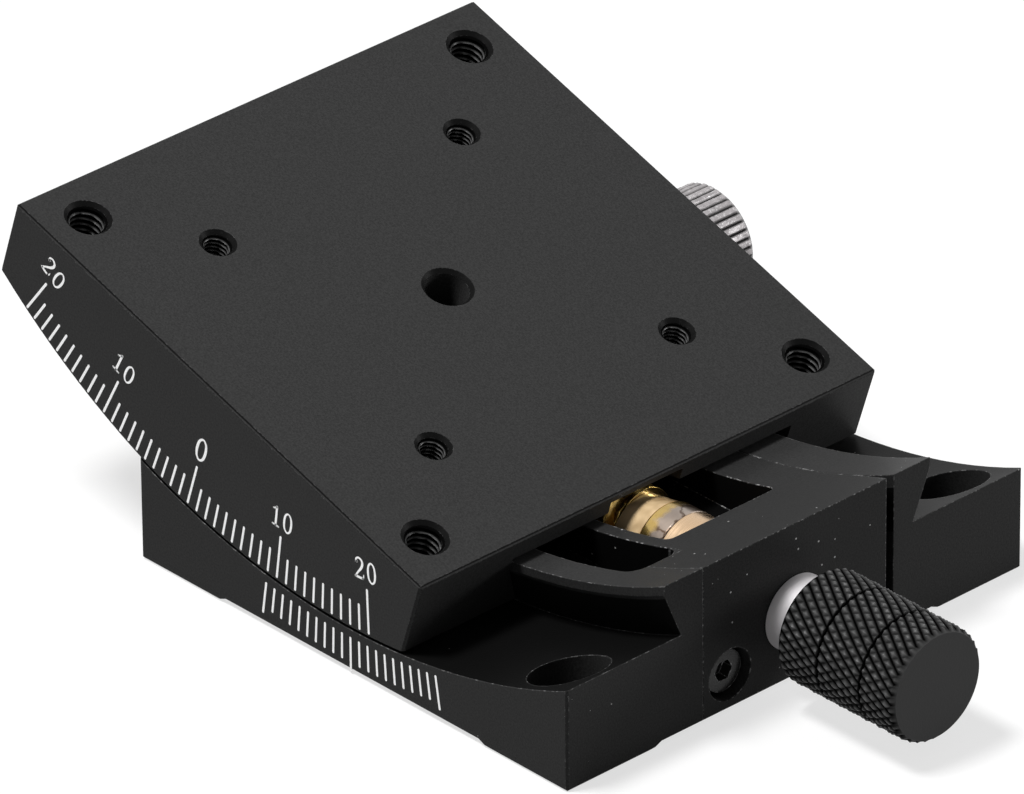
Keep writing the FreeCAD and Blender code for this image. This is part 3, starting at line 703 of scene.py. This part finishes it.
# %% Lock screw
LOCK_TIP, LOCK_HUB, LOCK_HEAD, LOCK_END, LOCK_RADIUS, STEM_RADIUS = 21.5, 30.4, 31.2, 39.2, 5.9, 2.0
head = [(LOCK_END, r) for r in (0.0, 2.0, 4.0, 5.0, 5.3)]
head += [(x, LOCK_RADIUS) for x in rows(LOCK_END - 0.6, LOCK_HEAD + 0.5, 0.2)]
head += [(LOCK_HEAD, 5.4), (LOCK_HEAD, 4.2)]
stem = [(LOCK_HUB, 4.2), (LOCK_HUB, STEM_RADIUS), (LOCK_TIP, STEM_RADIUS), (LOCK_TIP, 0.0)]
lock = lathe("knurled_lock", head + stem, ORIGIN, ALONG_X, 480)
run_tree(lock, KNURL, {"Radius": LOCK_RADIUS * MM, "Grooves": 40.0, "Pitch": 1 * MM, "Slant": 0.0,
                       "Depth": 0.28 * MM, "Flat": 2.0, "Start": (LOCK_HEAD + 0.3) * MM,
                       "End": (LOCK_END - 0.4) * MM}, LOCK_KNURL)
across = Matrix.Rotation(math.radians(90), 4, "Z")
lock.data.transform(TILTED @ Matrix.Translation(LOCK_AXIS_LEVEL) @ across)
smooth(lock, 30)
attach(lock, "lock_knob")
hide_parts("lock_screw")
print("lock lowest y:", round(min(v.co.y for v in lock.data.vertices) / MM, 2))

# %% [markdown]
# ## Threads in the table's holes
# The four corner holes and the four inner ones are tapped. In each, a thin sleeve carries the thread: a
# right-hand spiral ridge whose crests are painted light, with the roots and the mouth painted dark as
# painted shade. The tree starts from one plain sleeve, pulls its inner wall in and out along the spiral,
# opens the mouth like a countersink and puts a copy in each corner of a square. Cutting threads into the
# table itself would spoil its clean CAD faces, and a sleeve leaves them whole.

# %% Thread tree
def thread_tree():
    """Spiral thread on the inner wall of a sleeve below z = 0, copied to the corners of a square."""
    sizes = dict.fromkeys(("Major", "Minor", "Pitch", "Mouth", "Half Spacing"), 0.0)
    tree, given, out = piece_tree("Tapped Holes", {"Geometry": None, **sizes})
    x, y, z = axes_of(take(tree, "GeometryNodeInputPosition"))
    share, distance = axis_angle(y, x)
    wave = triangle(z / given["Pitch"] - share)
    wall = given["Major"] - wave * (given["Major"] - given["Minor"])
    cone = given["Mouth"] + z
    wanted = wall.do("MAXIMUM", cone).do("MINIMUM", given["Major"])
    scale = (wanted / distance.do("MAXIMUM", TINY) - 1.0) * (distance < given["Major"] - TINY * 10)
    # The stored crest height lets the material paint the crests light and the roots and the mouth dark.
    sleeve = marked(given["Geometry"], wave * (wall > cone))
    side = given["Half Spacing"] * 2.0
    corners = {"Size X": side, "Size Y": side, "Vertices X": 2, "Vertices Y": 2}
    square = take(tree, "GeometryNodeMeshGrid", corners)
    copies = {"Points": square, "Instance": moved(sleeve, X=x * scale, Y=y * scale)}
    finish_tree(out, take(tree, "GeometryNodeInstanceOnPoints", copies), given["Material"])
    return tree


THREAD = thread_tree()

# %% [markdown]
# ## Two sizes of tapped hole
# The sleeves start under the mouth that the CAD model already has, and are a hair thinner than the bore.
# Eight rows to each turn of the thread are enough to draw its crest.

# %% Tapped holes
SLEEVE_TOP, PLAY = -0.42, 0.01


def tapped_holes(name, major, minor, pitch, spacing, depth):
    """Four threaded sleeves in the tilted table, sizes in millimetres."""
    skin = major - 0.4 * PLAY
    outline = [(z, minor) for z in rows(SLEEVE_TOP, -depth, pitch / 8)]
    outline += [(-depth, skin), (SLEEVE_TOP, skin)]
    sleeve = lathe(name, outline, ORIGIN, ALONG_Z, 72)
    run_tree(sleeve, THREAD, {"Major": (major - PLAY) * MM, "Minor": minor * MM, "Pitch": pitch * MM,
                              "Mouth": (major + 0.4) * MM, "Half Spacing": spacing * MM}, THREAD_BLACK)
    sleeve.data.transform(TILTED @ Matrix.Translation((0, 0, TABLE_TOP)))
    smooth(sleeve, 60)
    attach(sleeve, "table")


tapped_holes("corner_threads", 2.0, 1.65, 0.7, 25, 5.6)
tapped_holes("inner_threads", 1.5, 1.23, 0.5, 16, 4.6)

# %% [markdown]
# ## The worm under grease
# Through the window one sees the end of the worm's thread, a drum of amber grease beside it and the bare
# brass of the hub. The CAD worm has flat facets to stay light. Here the same thread is made smooth: the
# tree finds, for each point of a turned blank, how far it is along the axis from the nearest crest of the
# spiral, and raises it by the thread's shape. The sizes are those of the CAD worm, so it still meets the
# sector's teeth.

# %% Worm tree
def worm_tree():
    """Right-hand trapezoid thread raised on a round blank about an axis along X."""
    sizes = {"Geometry": None, "Axis Y": 0.0, "Axis Z": 0.0, "Root": 3.05 * MM, "Tip": 4.3 * MM,
             "Pitch": 1.796 * MM, "Root Half": 0.63 * MM, "Tip Half": 0.18 * MM, "Start": -8 * MM,
             "End": 8.8 * MM}
    tree, given, out = piece_tree("Worm Thread", sizes)
    x, y, z = axes_of(take(tree, "GeometryNodeInputPosition"))
    y, z = y - given["Axis Y"], z - given["Axis Z"]
    share, distance = axis_angle(y * -1.0, z)
    away = abs((x / given["Pitch"] - share + 0.5) % 1.0 - 0.5) * given["Pitch"]
    rise = ranged(away, 1.0, 0.0, given["Tip Half"], given["Root Half"])
    rise = rise * ((x > given["Start"]) * (x < given["End"])) * (distance > given["Root"] - TINY * 10)
    scale = rise * (given["Tip"] - given["Root"]) / distance.do("MAXIMUM", TINY)
    finish_tree(out, moved(given["Geometry"], Y=y * scale, Z=z * scale), given["Material"])
    return tree


WORM = worm_tree()

# %% [markdown]
# ## Stained brass
# The hub is bare with dark stains, and the brass along the thread is amber from the grease. The change
# comes at one place along the worm, made ragged by noise. The stains are the borders of a bent Voronoi
# pattern, which look like cracks in a dried film.

# %% Worm finish
HUB_STARTS, HUB_BARE, STAIN_BEND = 12.6 * MM, 13.4 * MM, 3 * MM
WORM_BRASS, tree, shader = blank_material("worm brass")
spot = object_spot(tree)
along, *others = axes_of(spot)
grain = use(tree, GRAIN, Fine_Scale=1400.0, Broad_Scale=500.0)
edge = along + ranged(grain["Broad"], -0.8 * MM, 0.8 * MM, 0.3, 0.7)
bare = ranged(edge, 0.0, 1.0, HUB_STARTS, HUB_BARE)
amber = mixed(grain["Fine"], (0.38, 0.24, 0.06, 1), (0.62, 0.44, 0.14, 1))
drift = {0: noise(spot, 500.0, 3.0, "Color"), "Scale": STAIN_BEND}
drift = take(tree, "ShaderNodeVectorMath", drift, operation="SCALE")
bent = {"Vector": take(tree, "ShaderNodeVectorMath", {0: spot, 1: drift}, operation="ADD"), "Scale": 260.0}
cells = take(tree, "ShaderNodeTexVoronoi", bent, "Distance", feature="DISTANCE_TO_EDGE")
clean = mixed(grain["Broad"], (0.17, 0.125, 0.10, 1), (0.46, 0.385, 0.32, 1))
clean = mixed(ranged(cells, 0.0, 1.0, 0.015, 0.06), (0.10, 0.06, 0.035, 1), clean)
edges = use(tree, EDGE_LINES_AND_WEAR, Radius=0.08 * MM)
feed(shader, {"Base Color": mixed(bare, amber, clean), "Roughness": ranged(bare, 0.22, 0.3),
              "Metallic": 1.0, "Normal": bumpy(grain["Fine"], 0.2, 0.08 * MM, Normal=edges["Normal"]),
              "Coat Weight": 0.6, "Coat Roughness": 0.08})

# %% [markdown]
# ## The worm's blank
# Rear journal, body and hub are turned in one piece round the bore. Rows a tenth of a millimetre apart
# along the body let the tree raise a clean thread.

# %% Worm
REAR = [(-15.4, 2.51), (-15.4, 3.3), (-15.3, 3.4), (-12.4, 3.4), (-12.4, 3.05)]
HUB = [(12.4, 3.05), (12.4, 4.2), (12.5, 4.3), (15.1, 4.3), (15.2, 4.2), (15.2, 2.51)]
worm = lathe("smooth_worm", REAR + [(x, 3.05) for x in rows(-8.4, 9.2, 0.1)] + HUB, WORM_AXIS, ALONG_X, 96)
run_tree(worm, WORM, {"Axis Y": WORM_AXIS.y, "Axis Z": WORM_AXIS.z}, WORM_BRASS)
smooth(worm, 35)
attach(worm, "drive")
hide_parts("worm")

# %% [markdown]
# ## The grease
# The grease sits as a thick collar between the end of the thread and the hub. It is soft, so its skin is
# lumpy: a noise draws the points of a turned blank inwards. Its outside follows the arc of the sector's
# teeth, which sweep over it, so they pass it with a hair's breadth between.

# %% Grease
GREASE_FOOT, TOOTH_DEPTH, CLEARANCE = 3.06, 3.2, 0.06


def grease_tree():
    """Lumps on the outside of a round blank about an axis along X."""
    tree, given, out = piece_tree("Grease Lumps", {"Geometry": None, "Lump": 0.2 * MM, "Scale": 500.0})
    lumps = noise(take(tree, "GeometryNodeInputPosition"), given["Scale"], 2.0)
    push = ((lumps - 0.7) * given["Lump"]).do("MINIMUM", 0.0)
    offset = {0: take(tree, "GeometryNodeInputNormal"), "Scale": push}
    offset = take(tree, "ShaderNodeVectorMath", offset, operation="SCALE")
    pushed = take(tree, "GeometryNodeSetPosition", {"Geometry": given["Geometry"], "Offset": offset})
    finish_tree(out, pushed, given["Material"])
    return tree


def tooth_reach(x):
    """Distance from the worm's axis to the arc swept by the tooth tips, at a place along the worm."""
    to_axis = (PIVOT.z - WORM_AXIS.z) / MM
    return to_axis - math.sqrt((to_axis - TOOTH_DEPTH) ** 2 - x ** 2)


AMBER, tree, shader = blank_material("grease")
grain = use(tree, GRAIN, Fine_Scale=900.0, Broad_Scale=350.0)
tone = mixed(ranged(grain["Broad"], 0.0, 1.0, 0.35, 0.65), (0.40, 0.26, 0.12, 1), (0.92, 0.68, 0.40, 1))
feed(shader, {"Base Color": tone, "Roughness": ranged(grain["Fine"], 0.12, 0.3), "Metallic": 0.0,
              "Normal": bumpy(grain["Fine"], 0.4, 0.2 * MM), "Coat Weight": 1.0, "Coat Roughness": 0.05})
skin = [(x, tooth_reach(x) - CLEARANCE) for x in rows(8.75, 12.38, 0.12)]
outline = [(skin[0][0], GREASE_FOOT)] + skin + [(skin[-1][0], GREASE_FOOT)]
grease = lathe("grease", outline, WORM_AXIS, ALONG_X, 96)
run_tree(grease, grease_tree(), {"Lump": 0.2 * MM, "Scale": 450.0}, AMBER)
smooth(grease, 60)
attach(grease, "drive")

# %% [markdown]
# ## The engraved scale
# The scale is engraved in the table's side and filled with white paint: a line for each degree, with
# longer ones at each ten. All lines point to the tilt axis. The tree makes one line with round ends, far
# below the axis, and turns copies of it about that axis. The vernier on the base is the same tree with
# steps of 0.9 degree, so that ten of them are one degree shorter than ten of the scale's. The lines are
# thin inlays, sunk in the face, because that is quicker and cleaner than cutting sixty grooves.

# %% White paint
PAINT_RISE, PAINT_SINK = 0.012, 0.03
PAINT, tree, shader = blank_material("white paint")
fine = use(tree, GRAIN, Fine_Scale=6000.0)["Fine"]
feed(shader, {"Base Color": mixed(ranged(fine, 0.0, 1.0, 0.35, 0.7), grey(0.92), grey(1.0)),
              "Roughness": ranged(fine, 0.3, 0.5), "Metallic": 0.5})

# %% [markdown]
# ## One tree for all the lines
# A line is a thin bar whose corners are rounded until its ends are half circles. Long and short copies
# are chosen by their number and joined.

# %% Scale tree
def joined(*parts):
    """Geometry of several parts."""
    both = put(parts[0].tree, "GeometryNodeJoinGeometry")
    for part in parts:
        feed(both, {0: part})
    return Term(both.outputs[0])


def line_shape(tree, inner, outer, width):
    """One upright line with round ends, from the inner to the outer radius below the origin."""
    bar = take(tree, "GeometryNodeCurvePrimitiveQuadrilateral", {"Width": width, "Height": outer - inner})
    ends = {"Curve": bar, "Radius": width * 0.49, "Count": 4}
    rounded = take(tree, "GeometryNodeFilletCurve", ends, mode="POLY")
    face = take(tree, "GeometryNodeFillCurve", {0: rounded}, mode="NGONS")
    raised = {"Mesh": face, "Offset Scale": (PAINT_RISE + PAINT_SINK) * MM}
    thick = take(tree, "GeometryNodeExtrudeMesh", raised)
    both = joined(thick, take(tree, "GeometryNodeFlipFaces", {0: face}))
    shut = take(tree, "GeometryNodeMergeByDistance", {"Geometry": both, "Distance": WELD})
    stand = take(tree, "ShaderNodeCombineXYZ", {"Z": (inner + outer) * -0.5})
    upright = {"Geometry": shut, "Rotation": (math.radians(90), 0, 0), "Translation": stand}
    return take(tree, "GeometryNodeTransform", upright)


def scale_tree():
    """Lines on an arc about the Y axis through the origin, every tenth one longer."""
    sizes = dict.fromkeys(("Step", "Inner", "Outer", "Long Inner", "Long Outer", "Width"), 0.0)
    tree, given, out = piece_tree("Scale Lines", {"Lines": 1, **sizes})
    points = take(tree, "GeometryNodePoints", {"Count": given["Lines"]})
    number = take(tree, "GeometryNodeInputIndex")
    angle = ((given["Lines"] - 1.0) / 2.0 - number) * given["Step"]
    turn = take(tree, "ShaderNodeCombineXYZ", {"Y": angle})
    tenth = number % 10.0 < 0.5
    lines = []
    for chosen, long in ((tenth, "Long "), (1.0 - tenth, "")):
        shape = line_shape(tree, given[long + "Inner"], given[long + "Outer"], given["Width"])
        inputs = {"Points": points, "Selection": chosen, "Instance": shape, "Rotation": turn}
        lines.append(take(tree, "GeometryNodeInstanceOnPoints", inputs))
    finish_tree(out, joined(*lines), given["Material"])
    return tree


SCALE = scale_tree()

# %% [markdown]
# ## Scale and vernier
# Three pieces come from the tree: the scale on the table, the vernier on the base, and the vernier's long
# middle line, which lies over a short one and so is raised a little.

# %% Engraved lines
LINE_WIDTH, VERNIER_INNER = 0.28, 75.94
MIDDLE_LINE = (VERNIER_INNER, 79.9)


def engrave(name, matrix, body, count, step, radii, long_radii, lift=0.0):
    """Engraved lines about the tilt axis on the scale side, with inner and outer radii in millimetres."""
    lines = placed(name, bpy.data.meshes.new(name))
    sizes = {"Inner": radii[0], "Outer": radii[1], "Long Inner": long_radii[0], "Long Outer": long_radii[1]}
    sizes = {key: value * MM for key, value in {**sizes, "Width": LINE_WIDTH}.items()}
    run_tree(lines, SCALE, {"Lines": count, "Step": math.radians(step), **sizes}, PAINT)
    depth = SCALE_FACE + (PAINT_SINK - lift) * MM
    lines.data.transform(matrix @ Matrix.Translation(PIVOT + Vector((0, depth, 0))))
    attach(lines, body)


engrave("scale_lines", TILTED, "table", 41, 1.0, (71.71, 74.6), (69.66, 74.6))
engrave("vernier_lines", Matrix(), "base", 21, 0.9, (VERNIER_INNER, 78.84), (VERNIER_INNER, 79.61))
engrave("vernier_middle", Matrix(), "base", 1, 0.0, MIDDLE_LINE, MIDDLE_LINE, lift=0.006)
print("scale engraved")

# %% [markdown]
# ## The numbers of the scale
# The numbers have the shape of an engraver's round roman: thick and thin strokes, small feet and a ball
# at the end of the two. Blender's own font has none of that, so each figure is a few strokes, each a list
# of points with widths. A smooth curve runs through the points, and the mesh is the strip of its changing
# width.

# %% Strokes of the figures
FIGURES = {  # strokes of (across, up, width), in parts of the figure's height
    "0": (0.76, [[(0.38, 0.96, 0.08), (0.22, 0.82, 0.10), (0.17, 0.50, 0.12), (0.22, 0.18, 0.10),
                  (0.38, 0.04, 0.08), (0.54, 0.18, 0.10), (0.59, 0.50, 0.12), (0.54, 0.82, 0.10),
                  (0.38, 0.96, 0.08)]]),
    "1": (0.66, [[(0.35, 0.04, 0.12), (0.35, 0.50, 0.12), (0.35, 0.94, 0.12)],
                 [(0.33, 0.94, 0.08), (0.25, 0.85, 0.08), (0.16, 0.81, 0.07)],
                 [(0.17, 0.04, 0.08), (0.35, 0.04, 0.09), (0.53, 0.04, 0.08)]]),
    "2": (0.64, [[(0.15, 0.75, 0.13), (0.16, 0.76, 0.13)],
                 [(0.09, 0.76, 0.07), (0.13, 0.89, 0.08), (0.28, 0.96, 0.09), (0.44, 0.88, 0.11),
                  (0.48, 0.72, 0.13), (0.40, 0.52, 0.12), (0.22, 0.30, 0.09), (0.07, 0.09, 0.08)],
                 [(0.06, 0.07, 0.11), (0.28, 0.06, 0.11), (0.48, 0.07, 0.11)],
                 [(0.49, 0.07, 0.10), (0.53, 0.14, 0.07), (0.54, 0.24, 0.06)]]),
}


def smooth_points(points, steps=8):
    """Points of a smooth curve through a stroke's points, with widths carried along."""
    ends = [points[0]] + list(points) + [points[-1]]
    if points[0] == points[-1]:
        ends = [points[-2]] + list(points) + [points[1]]
    path = []
    for a, b, c, d in zip(ends, ends[1:], ends[2:], ends[3:]):
        for k in range(steps):
            t = k / steps
            path.append(Vector(0.5 * (2 * q + (r - p) * t + (2 * p - 5 * q + 4 * r - s) * t * t
                                      + (3 * q - p - 3 * r + s) * t ** 3) for p, q, r, s in zip(a, b, c, d)))
    return path + [Vector(points[-1])]


def stroke_outline(points):
    """Left and right side of one stroke, and its middle line."""
    path = smooth_points(points)
    left, right = [], []
    for k, point in enumerate(path):
        ahead = (path[min(k + 1, len(path) - 1)] - path[max(k - 1, 0)]).xy.normalized()
        side = Vector((-ahead.y, ahead.x)) * point.z / 2
        left.append(point.xy + side)
        right.append(point.xy - side)
    return left, right, path


print("figures:", ", ".join(FIGURES))

# %% [markdown]
# ## Numbers on the table
# Each number stands on its line: its figures are set side by side at their foot radius below the tilt
# axis and turned by the line's angle. The flat shapes are then lifted into a thin inlay of paint.

# %% Numbers on the table
FOOT_RADIUS, HEIGHTS = 68.9, {1: 2.8, 2: 2.34}


def disc(centre, radius, count=12):
    """Points round a small circle."""
    return [centre + radius * Vector((math.cos(2 * math.pi * k / count), math.sin(2 * math.pi * k / count)))
            for k in range(count)]


def number_mesh(text, degrees):
    """Points and faces of a number on the scale's arc, standing up at its foot radius."""
    turn, height = math.radians(degrees), HEIGHTS[len(text)]
    points, faces, start = [], [], -sum(FIGURES[c][0] for c in text) / 2
    for c in text:
        for stroke in FIGURES[c][1]:
            left, right, path = stroke_outline(stroke)
            shapes = [[left[k], right[k], right[k + 1], left[k + 1]] for k in range(len(path) - 1)]
            if stroke[0] != stroke[-1]:
                shapes += [disc(path[0].xy, path[0].z / 2), disc(path[-1].xy, path[-1].z / 2)]
            for shape in shapes:
                first = len(points)
                flat = [Vector(((p.x + start) * height, 0, p.y * height - FOOT_RADIUS)) for p in shape]
                points += [Vector((p.x * math.cos(turn) - p.z * math.sin(turn), 0,
                                   p.x * math.sin(turn) + p.z * math.cos(turn))) * MM for p in flat]
                faces.append(list(range(first, len(points))))
        start += FIGURES[c][0]
    return points, faces


def inlay(work):
    """Turn flat faces to the scale side and lift them into a thin layer of paint."""
    for face in work.faces:
        face.normal_update()
        if face.normal.y > 0:
            face.normal_flip()
    lifted = bmesh.ops.extrude_face_region(work, geom=work.faces[:])
    top = [item for item in lifted["geom"] if isinstance(item, bmesh.types.BMVert)]
    bmesh.ops.translate(work, verts=top, vec=(0, -(PAINT_RISE + PAINT_SINK) * MM, 0))


points, faces = [], []
for text, degrees in (("20", -20), ("10", -10), ("0", 0), ("10", 10), ("20", 20)):
    more, shapes = number_mesh(text, degrees)
    faces += [[i + len(points) for i in shape] for shape in shapes]
    points += more
numbers = built("scale_numbers", points, faces, inlay)
numbers.data.materials.append(PAINT)
numbers.data.transform(TILTED @ Matrix.Translation(PIVOT + Vector((0, SCALE_FACE + PAINT_SINK * MM, 0))))
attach(numbers, "table")
print("numbers:", len(faces), "polygons")

# %% [markdown]
# ## The round corner of the pocket
# Beside the worm carrier lies a narrow pocket. A milling cutter leaves a round corner at its end, which
# the plain solids of carrier and base don't have there, so a small fillet stands in the corner. Its
# outline is the corner and a quarter of a circle, and its top follows the ridge.

# %% Pocket corner
CORNER, ROUND, FOOT, TOP_RADIUS, STEPS = (22.5, -7.9), 2.0, 7.5, 69.54, 10
turns = [math.pi / 2 * k / STEPS for k in range(STEPS + 1)]
x, y = (place - ROUND for place in CORNER)
outline = [CORNER] + [(x + ROUND * math.cos(turn), y + ROUND * math.sin(turn)) for turn in turns]
low = [Vector((x, y, FOOT)) * MM for x, y in outline]
high = [Vector((x, y, PIVOT.z / MM - math.sqrt(TOP_RADIUS ** 2 - x ** 2))) * MM for x, y in outline]
count = len(outline)
sides = [(k, (k + 1) % count, (k + 1) % count + count, k + count) for k in range(count)]
fans = [(first, first + k, first + k + 1) for first in (0, count) for k in range(1, count - 1)]
fillet = built("pocket_fillet", low + high, sides + fans, weld)
fillet.data.materials.append(BASE_BLACK)
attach(fillet, "base")
print("fillet faces:", len(fillet.data.polygons))

# %% [markdown]
# ## Floor
# The photograph stands free on white. The floor is matt and catches the shadow; to the camera, to metal
# and to glass it and the sky look white.

# %% Floor
def seen_directly(tree):
    """1 for rays of the camera, of mirrors and of glass, 0 for the rest."""
    path = terms(put(tree, "ShaderNodeLightPath"))
    seen = path["Is Camera Ray"].do("MAXIMUM", path["Is Glossy Ray"])
    return seen.do("MAXIMUM", path["Is Transmission Ray"])


FLOOR_TONE, FLOOR_GLOW = 0.3, 0.68
white, tree, shader = blank_material("floor white")
tone = mixed(use(tree, GRAIN)["Broad"], grey(FLOOR_TONE), grey(FLOOR_TONE + 0.01))
feed(shader, {"Base Color": tone, "Roughness": 0.9})
glow = take(tree, "ShaderNodeEmission", {"Strength": seen_directly(tree) * FLOOR_GLOW})
whole = take(tree, "ShaderNodeAddShader", {0: Term(shader.outputs[0]), 1: glow})
feed(tree.nodes["Material Output"], {"Surface": whole})
floor = lathe("floor", [(-1, 0.0), (-1, 900.0), (0, 900.0), (0, 0.0)], ORIGIN, ALONG_Z, 48)
floor.data.materials.append(white)
print("floor top:", max(v.co.z for v in floor.data.vertices))

# %% [markdown]
# ## Light
# Soft light comes from a large lamp at the upper left, a weaker one low on the right and the grey sky, at
# a level at which colours come out as they are written.

# %% Light
SKY_LIGHT = 0.13


def lamp(name, spot, size, power, aim=(0, 0, 0.01)):
    """Square lamp at a place, aimed at the object."""
    data = bpy.data.lights.new(name, "AREA")
    data.size, data.energy = size, power
    made = placed(name, data)
    made.location = spot
    made.rotation_euler = (Vector(aim) - Vector(spot)).to_track_quat("-Z", "Y").to_euler()


world = bpy.data.worlds.new("sky")
world.use_nodes = True
bpy.context.scene.world = world
tree = world.node_tree
light = tree.nodes["Background"]
feed(light, {"Color": grey(1.0), "Strength": SKY_LIGHT})
white = take(tree, "ShaderNodeBackground", {"Color": grey(1.0), "Strength": 1.0})
both = take(tree, "ShaderNodeMixShader", {0: seen_directly(tree), 1: Term(light.outputs[0]), 2: white})
feed(tree.nodes["World Output"], {"Surface": both})
lamp("key", (-0.2, -0.33, 1.0), 0.25, 11.5)
lamp("fill", (0.5, 0.75, 0.22), 0.25, 3.4)
bpy.context.scene.view_settings.view_transform = "Standard"
print("lit")
